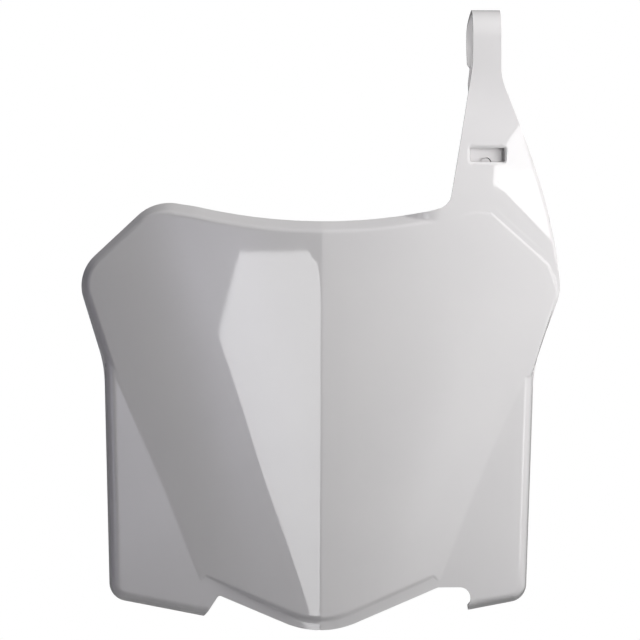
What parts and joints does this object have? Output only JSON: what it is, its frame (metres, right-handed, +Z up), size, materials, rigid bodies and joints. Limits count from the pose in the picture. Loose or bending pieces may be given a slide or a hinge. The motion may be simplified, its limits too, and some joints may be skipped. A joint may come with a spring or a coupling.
{
  "type": "racing number board",
  "caption": "Moulded plastic racing number board: a keeled shield with swept wings, a side arm and a strap that loops over the handlebar.",
  "frame": {"origin": "on the axis of the handlebar that the strap holds, at the middle of the strap's width", "axes": "+Z up as the board hangs on the bike, -Y the way the board faces, +X along the handlebar to the viewer's right"},
  "size_m": [0.2404, 0.0412, 0.3102],
  "materials": {
    "white_polypropylene": "glossy injection-moulded white polypropylene"
  },
  "bodies": {
    "root": {"number_board": "white_polypropylene"}
  },
  "joints": []
}
